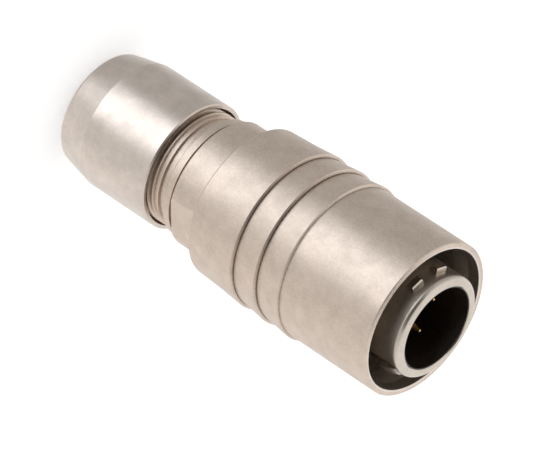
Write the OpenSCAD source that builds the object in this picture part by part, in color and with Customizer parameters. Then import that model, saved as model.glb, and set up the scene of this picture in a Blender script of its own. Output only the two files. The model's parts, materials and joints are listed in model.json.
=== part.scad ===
// Push-pull circular cable plug with four contacts.
// Millimetres. +Z is the plug's axis: the mating end is up, the cable end is down,
// and the origin is the centre of the clamp nut's rear face. The keys are near +X.

/* [Clamp nut] */
// Outside diameter of the clamp nut and of the body's collar
nut_d = 9.6; // [9.5:0.05:9.65]
// Length of the clamp nut
nut_l = 8.6; // [8.2:0.1:8.8]
// Length of the cone at the nut's cable end
nut_cone_l = 2.6; // [2:0.1:3.2]
// Diameter at the small end of that cone
nut_rear_d = 8.6; // [8.3:0.1:9]
// Diameter of the cable hole
cable_hole_d = 5.2; // [4.6:0.1:5.3]

/* [Thread] */
// Crest diameter of the body's rear thread
thread_d = 8.6; // [8.5:0.05:8.65]
// Pitch of the thread: the nut moves this far for each turn
thread_pitch = 0.5; // [0.4:0.05:0.75]

/* [Coupling sleeve] */
// Diameter of the sleeve's plain front part
sleeve_d = 11.5; // [11.4:0.05:11.6]
// Diameter at the crest of each grip step
ridge_d = 11.86; // [11.6:0.02:12]
// Diameter at the foot of each grip step
valley_d = 11.36; // [11.3:0.02:11.4]
// Length of the sleeve
sleeve_l = 16.35; // [16.2:0.05:16.5]
// Number of grip steps
ridge_count = 3; // [1:1:3]
// Distance from one grip step to the next
ridge_pitch = 2.15; // [1.8:0.05:2.2]
// How far the sleeve pulls back to let the plug go
sleeve_travel = 1.2; // [1:0.1:1.3]

/* [Plug barrel] */
// Outside diameter of the barrel that enters the socket
barrel_d = 7.6; // [7.55:0.01:7.6]
// Bore of the barrel
barrel_bore_d = 6.24; // [6.2:0.01:6.26]
// How far the barrel stands out of the sleeve
barrel_proud = 1.2; // [1:0.05:1.4]

/* [Keys and lock claws] */
// Angle of each guide key from the line midway between the two
key_angle = 16.5; // [14:0.5:18]
// Angle of that line from +X
key_mid = -3; // [-5:1:5]
// Angle of each lock claw from +X
claw_angle = 120; // [110:1:130]
// How far the claws stand out of the barrel
claw_h = 0.38; // [0.3:0.01:0.4]
// How far the keys stand out of it
key_h = 0.33; // [0.25:0.01:0.4]
// Width of a key or a claw
claw_w = 1; // [0.8:0.05:1.05]

/* [Contacts] */
// Number of contacts
pin_count = 4; // [3:1:4]
// Diameter of the circle that the contacts stand on
pin_circle_d = 3.34; // [3.2:0.02:3.4]
// Diameter of a contact
pin_d = 0.6; // [0.5:0.02:0.62]
// Angle of the first contact from +X
pin_angle = 11; // [0:1:45]
// Depth of the contact tips behind the barrel's rim
pin_tip_depth = 1.8; // [1.4:0.1:2.4]

/* [Hidden] */

$fn = 96;
eps = 0.01;            // overshoot of a cutting tool past the face it cuts
slip = 0.05;           // gap between faces that move on each other
edge = 0.1;            // ordinary broken edge

// Nut
nut_r = nut_d / 2;
cable_r = cable_hole_d / 2;
nut_wall_l = 1.2;      // end wall that the cable hole goes through
nut_pocket_r = 4.3;    // pocket for the washer and the gasket's head
nut_pocket_l = 1.3;
nut_bore_r = thread_d / 2 + 0.06;
nut_mouth_r = 4.5;     // relief at the open end
nut_mouth_l = 0.5;

// Rear body
core_r = thread_d / 2 - 0.36 * thread_pitch;    // root of the thread
tube_z = 2.6;          // rear end of the threaded tube
tube_bore_r = 3.3;
neck_z = nut_l + 1.55; // front end of the thread
land_r = 4.5;          // narrow land between thread and collar
land_l = 0.6;
relief_r = 4.3;        // relief groove behind the collar
collar_z = nut_l + 2.4;
collar_l = 5;
collar_end = collar_z + collar_l;
flat_half = land_r;    // spanner flats, cut down to the land
flat_l = 4;
seat_z = 9.2;          // shoulder that the ground ring sits on
wire_r = 2.9;          // way through for the wires
socket_z = 12.6;       // counterbore that takes the shell's spigot

// Inner shell
spigot_r = 3.9;
tube_r = 4.08;         // thick rear part of the shell
rear_bore_r = 3.45;
barrel_r = barrel_d / 2;
barrel_bore_r = barrel_bore_d / 2;
sleeve_z = collar_z + 2.7;
sleeve_end = sleeve_z + sleeve_l;
rim_z = sleeve_end + barrel_proud;
step_z = 24;           // where the thick part ends
rim_round = 0.38;
bore_step_z = 22;      // shoulder that the front insulator stops on
key_l = 0.6;
key_z = rim_z - 0.98 - key_l;        // rear end of the keys
key_edge = 0.08;

// Lock claws
claw_pivot_z = 17.2;   // where the leaf bends
claw_tail_z = 16.6;
leaf_t = 0.25;
leaf_gap = 0.075;      // clear space beside each leaf
claw_z = rim_z - 1.6;  // steep rear face of the claw
claw_tip_z = rim_z - 0.4;
slot_end = rim_z - 0.4 + leaf_gap;

// Band that holds the leaves' tails
band_z = 16.5;
band_l = 1.4;
band_in_r = 3.87;

// Sleeve mechanism
ring_z = 21.3;         // inner ring of the sleeve
ring_l = 1.75;
ring_bore_r = tube_r + 0.07;
chamber_r = 5.1;       // spring chamber
bearing_l = 1.7;
mouth_r = 5.3;         // bore at the sleeve's open end
mouth_l = 0.95;
throat_r = 5.05;       // bore behind it
throat_cone_l = 1.1;
stop_z = ring_z + ring_l + slip;
stop_l = 0.5;
stop_groove_r = 3.9;
stop_ring_r = 4.75;

// Cam hump of each claw: the ring is over its top when the sleeve is pulled right back
hump_r = 4.14;
hump_z = ring_z - sleeve_travel + 0.2;
hump_top_l = 0.4;
hump_ramp_l = 0.5;

// Return spring
spring_wire_r = 0.18;
spring_r = 4.6;
spring_turns = 5.5;
seat_l = 0.3;
spring_z0 = collar_end + seat_l + 0.05;
spring_z1 = ring_z - 0.05;

// Insulators and contacts
cup_r = barrel_bore_r - 0.02;
cup_wall = 0.25;
cup_floor_z = 25.3;
cup_z = rim_z - 0.08;
cup_lip = 0.05;        // wall left at the end of the lead-in
cup_lead_l = 0.9;
flange_r = rear_bore_r - 0.07;
flange_z = 20.8;
holder_z = 17.6;       // rear face of the rear insulator
retainer_z = 16.3;
pin_r = pin_d / 2;
pin_tip_z = rim_z - pin_tip_depth;
pin_taper_l = 0.6;
shank_r = 0.4;
pin_collar_r = 0.55;
cup_end_z = 13.4;      // rear end of the solder cups

// Points of an arc, in degrees, in the half plane of a turned profile
function arc(r, z, radius, from, to, steps = 5) =
    [for (i = [0:steps]) let (a = from + (to - from) * i / steps)
        [r + radius * cos(a), z + radius * sin(a)]];

// A turned piece from its half section
module turned(points) rotate_extrude() polygon(points);

// A plain ring
module washer(r_out, r_in, z, l)
    translate([0, 0, z]) difference() {
        cylinder(h = l, r = r_out);
        translate([0, 0, -eps]) cylinder(h = l + 2 * eps, r = r_in);
    }

// Copies its children to each contact's place
module at_pin(number)
    rotate([0, 0, pin_angle + 360 / pin_count * (number - 1)])
        translate([pin_circle_d / 2, 0, 0]) children();

// A radial slab: a profile of radius and height, extruded across its middle
module slab(points, width)
    rotate([90, 0, 0]) translate([0, 0, -width / 2])
        linear_extrude(height = width) polygon(points);

module clamp_nut() color([0.80, 0.75, 0.70])
    turned(concat(
        [[cable_r, 0.25], [cable_r + 0.25, 0]],
        arc(nut_rear_d / 2 - 0.3, 0.3, 0.3, -90, -12),
        [[nut_r, nut_cone_l], [nut_r, nut_l - edge], [nut_r - edge, nut_l],
         [nut_mouth_r, nut_l], [nut_mouth_r, nut_l - nut_mouth_l],
         [nut_bore_r, nut_l - nut_mouth_l - 0.14],
         [nut_bore_r, nut_wall_l + nut_pocket_l],
         [nut_pocket_r, nut_wall_l + nut_pocket_l], [nut_pocket_r, nut_wall_l],
         [cable_r, nut_wall_l]]));

module thrust_washer() color([0.72, 0.66, 0.45])
    washer(nut_pocket_r - 0.1, cable_r + 0.5, nut_wall_l + slip, 0.5);

// Rubber grommet: a head against the washer, a tapered skirt and sealing ribs inside
module cable_gasket() color([0.10, 0.10, 0.11])
    turned(concat(
        [[2.1, 1.8], [3.9, 1.8], [3.9, 2.5], [tube_bore_r - 0.05, 2.5],
         [tube_bore_r - 0.05, 4.2], [2.9, 5]],
        [for (i = [0:5]) [i % 2 == 0 ? 2.1 : 2.4, 5 - i * 0.55]]));

// Collet whose fingers close on the cable as the nut is tightened
module cable_clamp() color([0.75, 0.72, 0.66])
    difference() {
        turned([[2.25, 5.1], [2.75, 5.1], [3.22, 5.9], [3.22, 8.6], [2.25, 8.6]]);
        for (i = [0:5]) rotate([0, 0, 60 * i])
            translate([0, -0.2, 5.1 - eps]) cube([4, 0.4, 2.4]);
    }

module ground_ring() color([0.80, 0.78, 0.72])
    turned([[2.3, 8.65], [3.22, 8.65], [3.22, 9.15], [2.6, 9.15], [2.6, 9.8], [2.3, 9.8]]);

module rear_body() color([0.80, 0.75, 0.70])
    difference() {
        turned([[tube_bore_r, tube_z], [core_r - 0.2, tube_z], [core_r, tube_z + 0.2],
            [core_r, neck_z], [land_r - 0.05, neck_z], [land_r, neck_z + 0.05],
            [land_r, neck_z + land_l], [relief_r, neck_z + land_l],
            [relief_r, collar_z], [nut_r - edge, collar_z], [nut_r, collar_z + edge],
            [nut_r, collar_end - edge], [nut_r - edge, collar_end],
            [spigot_r + 0.02, collar_end], [spigot_r + 0.02, socket_z],
            [wire_r, socket_z], [wire_r, seat_z], [tube_bore_r, seat_z]]);
        for (side = [-1, 1])
            translate([-nut_d, side > 0 ? flat_half : -flat_half - nut_d,
                       neck_z + land_l + eps])
                cube([2 * nut_d, nut_d, flat_l]);
    }

// Guide key: a low block with its outer edges broken all round
module key(angle)
    rotate([0, 0, angle]) {
        foot = barrel_r - 0.3;
        top = barrel_r + key_h;
        intersection() {
            slab([[foot, key_z], [top - key_edge, key_z], [top, key_z + key_edge],
                  [top, key_z + key_l - key_edge], [top - key_edge, key_z + key_l],
                  [foot, key_z + key_l]], claw_w);
            translate([0, 0, key_z]) linear_extrude(height = key_l)
                polygon([[foot, -claw_w / 2], [top - key_edge, -claw_w / 2],
                         [top, key_edge - claw_w / 2], [top, claw_w / 2 - key_edge],
                         [top - key_edge, claw_w / 2], [foot, claw_w / 2]]);
        }
    }

module inner_shell() color([0.86, 0.83, 0.80])
    difference() {
        union() {
            turned(concat(
                [[rear_bore_r, socket_z + slip], [spigot_r - edge, socket_z + slip],
                 [spigot_r, socket_z + slip + edge], [spigot_r, collar_end],
                 [tube_r, collar_end], [tube_r, band_z], [band_in_r - 0.02, band_z],
                 [band_in_r - 0.02, band_z + band_l], [tube_r, band_z + band_l],
                 [tube_r, stop_z - 0.02], [stop_groove_r - 0.02, stop_z - 0.02],
                 [stop_groove_r - 0.02, stop_z + stop_l + 0.02],
                 [tube_r, stop_z + stop_l + 0.02], [tube_r, step_z],
                 [barrel_r, step_z + tube_r - barrel_r]],
                arc(barrel_r - rim_round, rim_z - rim_round, rim_round, 0, 90, 6),
                [[barrel_bore_r + 0.06, rim_z], [barrel_bore_r, rim_z - 0.06],
                 [barrel_bore_r, bore_step_z], [rear_bore_r, bore_step_z]]));
            for (side = [-1, 1]) key(key_mid + side * key_angle);
        }
        for (side = [-1, 1]) rotate([0, 0, side * claw_angle])
            translate([2.9, -claw_w / 2 - leaf_gap, band_z])
                cube([2, claw_w + 2 * leaf_gap, slot_end - band_z]);
    }

module claw_band() color([0.78, 0.76, 0.73])
    washer(tube_r, band_in_r, band_z + 0.02, band_l - 0.04);

// Leaf with a cam hump near its root and a claw at its free end
module lock_claw(angle) color([0.84, 0.82, 0.79])
    rotate([0, 0, angle])
        slab([[barrel_r - leaf_t, claw_tail_z], [barrel_r, claw_tail_z],
              [barrel_r, hump_z - 0.5], [hump_r, hump_z], [hump_r, hump_z + hump_top_l],
              [barrel_r, hump_z + hump_top_l + hump_ramp_l], [barrel_r, claw_z],
              [barrel_r + claw_h, claw_z + 0.05], [barrel_r + claw_h, claw_z + 0.3],
              [barrel_r + 0.03, claw_tip_z], [barrel_r - leaf_t, claw_tip_z]],
             claw_w);
module lock_claw_1() lock_claw(claw_angle);
module lock_claw_2() lock_claw(-claw_angle);

module spring_seat() color([0.70, 0.68, 0.64])
    washer(4.75, tube_r + 0.04, collar_end + 0.01, seat_l);

// Coil spring: rings of points along a helix, joined into one closed tube.
// The first and last turns lie nearly flat.
spring_steps = 24;
spring_sides = 8;
spring_rings = spring_turns * spring_steps;
function spring_rise(t) = t < 1 ? 0.09 * t : t > spring_turns - 1
    ? 1 - 0.09 * (spring_turns - t)
    : 0.09 + 0.82 * (t - 1) / (spring_turns - 2);
module return_spring() color([0.60, 0.60, 0.60]) {
    low = spring_z0 + spring_wire_r;
    high = spring_z1 - spring_wire_r;
    points = [for (i = [0:spring_rings], j = [0:spring_sides - 1])
        let (turn = i / spring_steps, a = 360 * turn, b = 360 * j / spring_sides,
             r = spring_r + spring_wire_r * cos(b))
        [r * cos(a), r * sin(a),
         low + (high - low) * spring_rise(turn) + spring_wire_r * sin(b)]];
    sides = [for (i = [0:spring_rings - 1], j = [0:spring_sides - 1])
        let (k = (j + 1) % spring_sides, a = i * spring_sides, b = a + spring_sides)
        [a + j, b + j, b + k, a + k]];
    start = [for (j = [0:spring_sides - 1]) j];
    end = [for (j = [spring_sides - 1:-1:0]) spring_rings * spring_sides + j];
    polyhedron(points, concat([start], sides, [end]), convexity = 8);
}

// Open ring in the shell's groove: the sleeve stops against it
module stop_ring() color([0.70, 0.68, 0.64])
    difference() {
        washer(stop_ring_r, stop_groove_r, stop_z, stop_l);
        translate([0, -0.5, stop_z - eps]) cube([6, 1, stop_l + 2 * eps]);
    }

// Outline of the sleeve's grip: each step rises slowly and drops at its front edge
first_ridge_z = sleeve_z + 4.2;
ridge_drop = 0.1;
ridge_points = [for (i = [0:ridge_count - 1], end = [0:1])
    let (z = first_ridge_z + i * ridge_pitch)
    end == 0 ? [ridge_d / 2, z]
             : [i == ridge_count - 1 ? sleeve_d / 2 : valley_d / 2, z + ridge_drop]];

module coupling_sleeve() color([0.80, 0.75, 0.70])
    turned(concat(
        [[nut_r + slip, sleeve_z]],
        arc(5.65 - 0.12, sleeve_z + 0.12, 0.12, -90, 0, 3),
        [[5.77, sleeve_z + 2.4]],
        ridge_points,
        [[sleeve_d / 2, sleeve_end - 0.07], [sleeve_d / 2 - 0.07, sleeve_end],
         [mouth_r + 0.03, sleeve_end], [mouth_r, sleeve_end - 0.03],
         [mouth_r, sleeve_end - mouth_l],
         [throat_r, sleeve_end - mouth_l - throat_cone_l],
         [throat_r, ring_z + ring_l], [ring_bore_r, ring_z + ring_l],
         [ring_bore_r, ring_z], [chamber_r, ring_z],
         [chamber_r, sleeve_z + bearing_l], [nut_r + slip, sleeve_z + bearing_l]]));

module front_insulator() color([0.06, 0.05, 0.06])
    difference() {
        turned([[0, flange_z], [flange_r, flange_z], [flange_r, bore_step_z - 0.02],
            [cup_r, bore_step_z - 0.02], [cup_r, cup_z], [cup_r - cup_lip, cup_z],
            [cup_r - cup_wall, cup_z - cup_lead_l], [cup_r - cup_wall, cup_floor_z],
            [0, cup_floor_z]]);
        for (i = [1:pin_count]) at_pin(i)
            translate([0, 0, flange_z - eps]) cylinder(h = 5, r = pin_r + 0.01, $fn = 32);
    }

module rear_insulator() color([0.08, 0.07, 0.07])
    difference() {
        washer(flange_r, 0.5, holder_z, flange_z - 0.02 - holder_z);
        for (i = [1:pin_count]) at_pin(i) {
            translate([0, 0, holder_z - eps]) cylinder(h = 4, r = shank_r + 0.01, $fn = 32);
            translate([0, 0, flange_z - 0.62])
                cylinder(h = 1, r = pin_collar_r + 0.02, $fn = 32);
        }
    }

// Threaded ring that presses the insulators home, with two slots for its key
module contact_retainer() color([0.78, 0.75, 0.70])
    difference() {
        washer(rear_bore_r - 0.03, 2.5, retainer_z, holder_z - 0.02 - retainer_z);
        translate([-4, -0.35, retainer_z - eps]) cube([8, 0.7, 0.5]);
    }

// Turned contact: solder cup, shank, collar and tapered pin
module pin(number) color([0.85, 0.65, 0.30])
    at_pin(number) difference() {
        rotate_extrude($fn = 32) polygon([[0, cup_end_z], [0.55, cup_end_z],
            [0.55, cup_end_z + 3], [shank_r, cup_end_z + 3.15],
            [shank_r, flange_z - 0.6], [pin_collar_r, flange_z - 0.6],
            [pin_collar_r, flange_z - 0.05], [pin_r, flange_z - 0.05],
            [pin_r, pin_tip_z - pin_taper_l], [0.1, pin_tip_z - 0.05], [0, pin_tip_z]]);
        translate([0, 0, cup_end_z - eps]) cylinder(h = 2.2, r = 0.38, $fn = 32);
        translate([0.1, -1, cup_end_z - eps]) cube([2, 2, 1.6]);
    }
module pin_1() pin(1);
module pin_2() pin(2);
module pin_3() pin(3);
module pin_4() pin(4);

clamp_nut();
thrust_washer();
cable_gasket();
cable_clamp();
ground_ring();
rear_body();
inner_shell();
claw_band();
lock_claw_1();
lock_claw_2();
spring_seat();
return_spring();
stop_ring();
coupling_sleeve();
front_insulator();
rear_insulator();
contact_retainer();
pin_1();
pin_2();
pin_3();
pin_4();
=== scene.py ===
"""Looks of a small push-pull cable plug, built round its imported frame. Lengths are in metres."""

import json
import math

import bmesh
import bpy
from mathutils import Matrix, Vector


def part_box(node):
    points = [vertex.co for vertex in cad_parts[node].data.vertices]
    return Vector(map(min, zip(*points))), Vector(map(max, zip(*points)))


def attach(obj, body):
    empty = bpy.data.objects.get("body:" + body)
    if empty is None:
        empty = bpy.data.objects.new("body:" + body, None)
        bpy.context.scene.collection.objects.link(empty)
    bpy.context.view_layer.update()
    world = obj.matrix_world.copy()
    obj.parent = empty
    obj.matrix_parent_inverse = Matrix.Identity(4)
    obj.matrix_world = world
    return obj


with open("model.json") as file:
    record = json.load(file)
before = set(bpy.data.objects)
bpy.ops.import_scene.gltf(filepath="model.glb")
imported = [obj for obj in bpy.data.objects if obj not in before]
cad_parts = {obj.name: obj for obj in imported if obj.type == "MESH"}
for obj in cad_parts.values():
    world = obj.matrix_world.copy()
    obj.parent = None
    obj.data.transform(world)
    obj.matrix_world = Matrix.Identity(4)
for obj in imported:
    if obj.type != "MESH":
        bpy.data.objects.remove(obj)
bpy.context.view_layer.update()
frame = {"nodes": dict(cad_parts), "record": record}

MM = 0.001
NODES = frame["nodes"]

# Camera: a long lens, far away, looking at the mating end, and rolled so that the plug lies aslant
CAMERA_AZIMUTH = 37.85              # of the camera's place, from +X towards +Y, in degrees
CAMERA_ELEVATION = 31.02
CAMERA_ROLL = 123.5
CAMERA_DISTANCE = 371.3 * MM
CAMERA_AIM = Vector((-0.24, 0.31, 16.17)) * MM
CAMERA_LENS = 369.6

# Plated metals
SATIN_NICKEL = (0.79, 0.663, 0.562)
SATIN_ROUGH = 0.42
NUT_NICKEL = (0.8, 0.7, 0.62)
NUT_ROUGH = 0.33
# painted reflection: the bore's nickel is brighter than the outside's, standing in for a reflected bright
# band
BORE_NICKEL_PAINTED_SHEEN = (0.88, 0.8, 0.72)
BORE_ROUGH = 0.34
BORE_RADIUS = 5.42 * MM             # lies between the sleeve's bore and its outside
BARREL_NICKEL = (0.7, 0.62, 0.535)
BARREL_ROUGH = 0.34
POLISHED_ROUGH = 0.12
POLISHED_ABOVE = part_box("inner_shell")[1][2] - 0.14 * MM
POLISHED_BEYOND = 3.92 * MM         # past this radius the barrel's metal is a guide key

# The satin of those metals
CLOUD_SIZE = 1.1 * MM
GRAIN_SIZE = 0.16 * MM
GRAIN_DEPTH = 0.014 * MM
CORNER_REACH = 0.22 * MM            # painted shade darkens the colour where another wall is nearer than this

# The clamp nut's thread, and where its ridge starts and ends, from the body's rear end
THREAD_ROOT = 4.11 * MM
THREAD_CREST = 4.3 * MM
THREAD_PITCH = 0.5 * MM
THREAD_START = 0.25 * MM
THREAD_END = 7.3 * MM
THREAD_STEPS = 72                   # a turn
THREAD_FADE = 0.4                   # turns over which it rises from the root at each end
THREAD_PROFILE = [(-0.22, 0), (-0.07, 1), (0.07, 1), (0.22, 0)]     # (part of a pitch, part of the height)

# Light: a white room, greyer overhead and in front, with a soft key panel and the camera's dark place
OVERHEAD_GREY = 0.55
FRONT_GREY = 0.8
LENS_GREY = 0.1
LENS_EDGE, LENS_MIDDLE = 46, 27     # radii round the camera, in degrees
KEY_EDGE, KEY_MIDDLE = 34, 8        # radii of the panel and of its even middle, in degrees
KEY_GLOW = 1.5                      # how much brighter than the room it is
KEY_TINT = (0.94, 1, 1.08)

# Floor
FLOOR_HALF = 1.5
FLOOR_HEIGHT = -0.01 * MM           # just under the face that the plug stands on
FLOOR_LIFT = 0.46                   # glow that only the camera sees, so that the shadow stays faint


class Nodes:
    """A short way to write a node tree."""

    def __init__(self, tree):
        self.tree = tree
        self.tree.nodes.clear()

    def add(self, kind, inputs=(), **settings):
        node = self.tree.nodes.new(kind)
        for key, value in settings.items():
            setattr(node, key, value)
        for key, value in dict(inputs).items():
            if isinstance(value, bpy.types.NodeSocket):
                self.tree.links.new(value, node.inputs[key])
            else:
                node.inputs[key].default_value = value
        return node


def direction(azimuth, elevation):
    """Unit vector with that azimuth from +X towards +Y and that height above the horizon, in degrees."""
    a, e = math.radians(azimuth), math.radians(elevation)
    return Vector((math.cos(e) * math.cos(a), math.cos(e) * math.sin(a), math.sin(e)))


def facing(back, roll):
    """Rotation of a camera whose back points along back, rolled by that many degrees."""
    up = (Vector((0, 0, 1)) - back * back.z).normalized()
    right = up.cross(back)
    turn = Matrix((right, up, back)).transposed()
    return turn @ Matrix.Rotation(math.radians(roll), 3, "Z")


def make_camera():
    data = bpy.data.cameras.new("camera")
    data.lens = CAMERA_LENS
    data.sensor_width = 36
    data.clip_start, data.clip_end = 0.01, 10
    cam = bpy.data.objects.new("camera", data)
    bpy.context.collection.objects.link(cam)
    back = direction(CAMERA_AZIMUTH, CAMERA_ELEVATION)
    turn = facing(back, CAMERA_ROLL).to_4x4()
    cam.matrix_world = Matrix.Translation(CAMERA_AIM + back * CAMERA_DISTANCE) @ turn
    bpy.context.scene.camera = cam
    return cam


def new_material(name):
    material = bpy.data.materials.new(name)
    material.use_nodes = True
    return material, Nodes(material.node_tree)


def ramp(n, value, stops):
    """A colour ramp of (position, grey or colour) stops."""
    node = n.add("ShaderNodeValToRGB", {"Fac": value})
    elements = node.color_ramp.elements
    while len(elements) < len(stops):
        elements.new(0.5)
    for element, (position, colour) in zip(elements, stops):
        element.position = position
        if isinstance(colour, (int, float)):
            colour = (colour,) * 3
        element.color = (*colour, 1)
    return node.outputs["Color"]


def in_range(n, value, low, high, at_low, at_high, interpolation="LINEAR"):
    """value between low and high turned into at_low to at_high."""
    return n.add("ShaderNodeMapRange", {"Value": value, "From Min": low, "From Max": high,
                                        "To Min": at_low, "To Max": at_high},
                 interpolation_type=interpolation).outputs["Result"]


def calculate(n, operation, a, b):
    return n.add("ShaderNodeMath", {0: a, 1: b}, operation=operation).outputs[0]


def mix_number(n, factor, a, b):
    return n.add("ShaderNodeMix", {"Factor": factor, "A": a, "B": b},
                 data_type="FLOAT").outputs["Result"]


def mix_colour(n, factor, a, b, blend="MIX"):
    node = n.add("ShaderNodeMix", data_type="RGBA", blend_type=blend)
    sockets = [node.inputs[0], node.inputs[6], node.inputs[7]]
    for socket, value in zip(sockets, (factor, a, b)):
        if isinstance(value, bpy.types.NodeSocket):
            n.tree.links.new(value, socket)
        else:
            socket.default_value = (*value, 1) if isinstance(value, tuple) else value
    return node.outputs[2]


def satin_metal(name, colour, roughness, blast=0.75, mottle=0.12, bore=None, polish=None, corner=0.85):
    """Plated metal, blasted to a fine satin.

    blast is how strong the grain is, and mottle how uneven the tone.
    bore is (radius, colour, roughness) of the turned surfaces inside that radius, whose colour is painted
    brighter as a painted reflection.
    polish is (height, radius, roughness) of what lies above that height or past that radius.
    corner is how bright a narrow inner corner stays under the painted shade there.
    """
    material, n = new_material(name)
    place = n.add("ShaderNodeTexCoord").outputs["Object"]
    cloud = n.add("ShaderNodeTexNoise", {"Vector": place, "Scale": 1 / CLOUD_SIZE, "Detail": 4,
                                         "Roughness": 0.6}).outputs["Fac"]
    grain = n.add("ShaderNodeTexNoise", {"Vector": place, "Scale": 1 / GRAIN_SIZE, "Detail": 3,
                                         "Roughness": 0.7}).outputs["Fac"]
    near = n.add("ShaderNodeAmbientOcclusion", {"Distance": CORNER_REACH}, samples=8).outputs["AO"]
    cloudy = ramp(n, cloud, [(0.3, 1 - mottle), (0.7, 1.0)])
    grainy = ramp(n, grain, [(0.3, 1 - 1.6 * mottle * blast), (0.7, 1.0)])
    # painted shade: the colour is darkened in narrow inner corners, found by ambient occlusion
    corner_shade = ramp(n, near, [(0.6, corner), (0.92, 1.0)])
    tint = mix_colour(n, 1.0, mix_colour(n, 1.0, cloudy, grainy, "MULTIPLY"), corner_shade, "MULTIPLY")
    gloss = in_range(n, cloud, 0.3, 0.7, roughness * 1.06, roughness * 0.94)

    parts = n.add("ShaderNodeSeparateXYZ", {"Vector": place})
    height = parts.outputs["Z"]
    level = n.add("ShaderNodeCombineXYZ", {"X": parts.outputs["X"], "Y": parts.outputs["Y"]})
    radius = n.add("ShaderNodeVectorMath", {0: level.outputs[0]}, operation="LENGTH").outputs["Value"]
    base = colour
    if bore:
        bore_radius, bore_sheen_colour, bore_roughness = bore
        # inside the bore the colour is painted brighter as a painted reflection; its lower roughness is
        # real
        outside = calculate(n, "GREATER_THAN", radius, bore_radius)
        base = mix_colour(n, outside, bore_sheen_colour, colour)
        gloss = mix_number(n, outside, bore_roughness, gloss)
    if polish:
        above, beyond, polished = polish
        gloss = mix_number(n, calculate(n, "GREATER_THAN", height, above), gloss, polished)
        gloss = mix_number(n, calculate(n, "GREATER_THAN", radius, beyond), gloss, polished)

    bump = n.add("ShaderNodeBump", {"Height": grain, "Strength": blast, "Distance": GRAIN_DEPTH})
    shader = n.add("ShaderNodeBsdfPrincipled", {
        "Base Color": mix_colour(n, 1.0, tint, base, "MULTIPLY"), "Metallic": 1.0,
        "Roughness": gloss, "Normal": bump.outputs["Normal"]})
    n.add("ShaderNodeOutputMaterial", {"Surface": shader.outputs["BSDF"]})
    return material


def plastic(name, colour, roughness, ior=1.55):
    """Moulded plastic or rubber with a slightly uneven tone and gloss."""
    material, n = new_material(name)
    place = n.add("ShaderNodeTexCoord").outputs["Object"]
    cloud = n.add("ShaderNodeTexNoise", {"Vector": place, "Scale": 1 / (0.8 * MM),
                                         "Detail": 2}).outputs["Fac"]
    tint = ramp(n, cloud, [(0.3, [c * 0.85 for c in colour]), (0.7, [c * 1.15 for c in colour])])
    gloss = in_range(n, cloud, 0.3, 0.7, roughness * 0.8, roughness * 1.2)
    shader = n.add("ShaderNodeBsdfPrincipled", {"Base Color": tint, "Roughness": gloss, "IOR": ior})
    n.add("ShaderNodeOutputMaterial", {"Surface": shader.outputs["BSDF"]})
    return material


def make_thread(material):
    """The turns that the clamp nut runs on, as one helical ridge round the body's rear tube."""
    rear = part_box("rear_body")[0][2]
    start, end = rear + THREAD_START, rear + THREAD_END
    rings = round((end - start) / THREAD_PITCH * THREAD_STEPS)
    bm = bmesh.new()
    rows = []
    for i in range(rings + 1):
        turn = i / THREAD_STEPS
        left = (rings - i) / THREAD_STEPS
        angle = 2 * math.pi * turn
        fade = min(1, turn / THREAD_FADE, left / THREAD_FADE)
        row = []
        for rise, height in THREAD_PROFILE:
            r = THREAD_ROOT + (THREAD_CREST - THREAD_ROOT) * height * fade
            z = start + THREAD_PITCH * (turn + rise)
            row.append(bm.verts.new((r * math.cos(angle), r * math.sin(angle), z)))
        rows.append(row)
    for a, b in zip(rows, rows[1:]):
        for j in range(len(THREAD_PROFILE)):
            k = (j + 1) % len(THREAD_PROFILE)
            bm.faces.new((a[j], b[j], b[k], a[k]))
    bm.faces.new(rows[0])
    bm.faces.new(reversed(rows[-1]))
    bmesh.ops.recalc_face_normals(bm, faces=bm.faces)
    mesh = bpy.data.meshes.new("neck_thread")
    bm.to_mesh(mesh)
    bm.free()
    mesh.materials.append(material)
    thread = bpy.data.objects.new("neck_thread", mesh)
    bpy.context.collection.objects.link(thread)
    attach(thread, "plug")


def make_world(right, up, back):
    """A photographer's white room, laid out by the camera's right, up and back directions."""
    world = bpy.data.worlds.new("studio")
    world.use_nodes = True
    bpy.context.scene.world = world
    n = Nodes(world.node_tree)
    towards = n.add("ShaderNodeTexCoord").outputs["Generated"]

    def along(axis):
        return n.add("ShaderNodeVectorMath", {0: towards, 1: axis.normalized()},
                     operation="DOT_PRODUCT").outputs["Value"]

    def soft(axis, low, high, at_low, at_high):
        return in_range(n, along(axis), low, high, at_low, at_high, "SMOOTHSTEP")

    def soft_disc(axis, edge, middle, at_edge, at_middle):
        return soft(axis, math.cos(math.radians(edge)), math.cos(math.radians(middle)),
                    at_edge, at_middle)

    overhead = soft(up, 0.2, 0.75, 1.0, OVERHEAD_GREY)
    front = soft(back - 0.5 * right, 0.0, 0.6, 1.0, FRONT_GREY)
    lens = soft_disc(back, LENS_EDGE, LENS_MIDDLE, 1.0, LENS_GREY)
    room = calculate(n, "MULTIPLY", calculate(n, "MULTIPLY", overhead, front), lens)
    key_way = -0.611 * right + 0.653 * up + 0.447 * back
    key = soft_disc(key_way, KEY_EDGE, KEY_MIDDLE, 0.0, KEY_GLOW)

    walls = n.add("ShaderNodeBackground", {"Color": (1, 1, 1, 1), "Strength": room})
    panel = n.add("ShaderNodeBackground", {"Color": (*KEY_TINT, 1), "Strength": key})
    studio = n.add("ShaderNodeAddShader", {0: walls.outputs[0], 1: panel.outputs[0]})
    white = n.add("ShaderNodeBackground", {"Color": (1, 1, 1, 1), "Strength": 1.0})
    rays = n.add("ShaderNodeLightPath")
    seen = n.add("ShaderNodeMixShader", {0: rays.outputs["Is Camera Ray"], 1: studio.outputs[0],
                                         2: white.outputs[0]})
    n.add("ShaderNodeOutputWorld", {"Surface": seen.outputs[0]})


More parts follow.
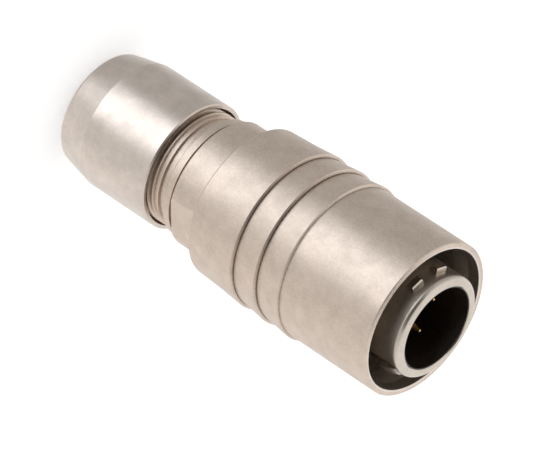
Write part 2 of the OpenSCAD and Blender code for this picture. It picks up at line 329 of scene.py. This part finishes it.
def make_floor():
    """A white floor that keeps the plug's shadow.

    Metal sees past it, to the room all round, and so does a camera under it.
    """
    h, z = FLOOR_HALF, FLOOR_HEIGHT
    mesh = bpy.data.meshes.new("floor")
    mesh.from_pydata([(-h, -h, z), (h, -h, z), (h, h, z), (-h, h, z)], [], [(0, 1, 2, 3)])
    floor = bpy.data.objects.new("floor", mesh)
    bpy.context.collection.objects.link(floor)
    material, n = new_material("pale_floor")
    rays = n.add("ShaderNodeLightPath")
    below = n.add("ShaderNodeNewGeometry").outputs["Backfacing"]
    unseen = calculate(n, "MAXIMUM", rays.outputs["Is Glossy Ray"], below)
    lift = calculate(n, "MULTIPLY", rays.outputs["Is Camera Ray"], FLOOR_LIFT)
    matt = n.add("ShaderNodeBsdfDiffuse", {"Color": (0.95, 0.95, 0.95, 1)})
    glow = n.add("ShaderNodeEmission", {"Strength": lift})
    white = n.add("ShaderNodeAddShader", {0: matt.outputs["BSDF"], 1: glow.outputs[0]})
    clear = n.add("ShaderNodeBsdfTransparent")
    mix = n.add("ShaderNodeMixShader", {0: unseen, 1: white.outputs[0], 2: clear.outputs["BSDF"]})
    n.add("ShaderNodeOutputMaterial", {"Surface": mix.outputs["Shader"]})
    mesh.materials.append(material)


# One material for each slot of the record
MATERIALS = {
    "satin_nickel": satin_metal("satin_nickel", SATIN_NICKEL, SATIN_ROUGH),
    "bright_nickel": satin_metal("bright_nickel", (0.76, 0.69, 0.62), 0.1, blast=0.08),
    "spring_steel": satin_metal("spring_steel", (0.62, 0.57, 0.51), 0.22, blast=0.1),
    "gold_contact": satin_metal("gold_contact", (0.98, 0.66, 0.3), 0.16, blast=0.05),
    "brass": satin_metal("brass", (0.72, 0.52, 0.26), 0.3, blast=0.2),
    "black_insulator": plastic("black_insulator", (0.02, 0.014, 0.01), 0.14, 1.7),
    "black_rubber": plastic("black_rubber", (0.02, 0.02, 0.022), 0.6),
}
for part in frame["record"]["subparts"]:
    mesh = NODES[part["node"]].data
    mesh.materials.clear()
    mesh.materials.append(MATERIALS[part["material_slot"]])

# Three of the nickel pieces have a finish of their own
NODES["clamp_nut"].data.materials[0] = satin_metal(
    "satin_nickel_nut", NUT_NICKEL, NUT_ROUGH, blast=0.4, mottle=0.16)
# the sleeve's bore carries the painted reflection
NODES["coupling_sleeve"].data.materials[0] = satin_metal(
    "satin_nickel_sleeve", SATIN_NICKEL, SATIN_ROUGH,
    # corner=0.12 darkens the sleeve's inner corners strongly, as painted shade
    bore=(BORE_RADIUS, BORE_NICKEL_PAINTED_SHEEN, BORE_ROUGH), corner=0.12)
NODES["inner_shell"].data.materials[0] = satin_metal(
    "bright_nickel_shell", BARREL_NICKEL, BARREL_ROUGH, blast=0.5,
    polish=(POLISHED_ABOVE, POLISHED_BEYOND, POLISHED_ROUGH))

make_thread(MATERIALS["satin_nickel"])
camera = make_camera()
make_world(*(camera.matrix_world.to_3x3().col[i].copy() for i in range(3)))
make_floor()
bpy.context.scene.view_settings.view_transform = "Standard"
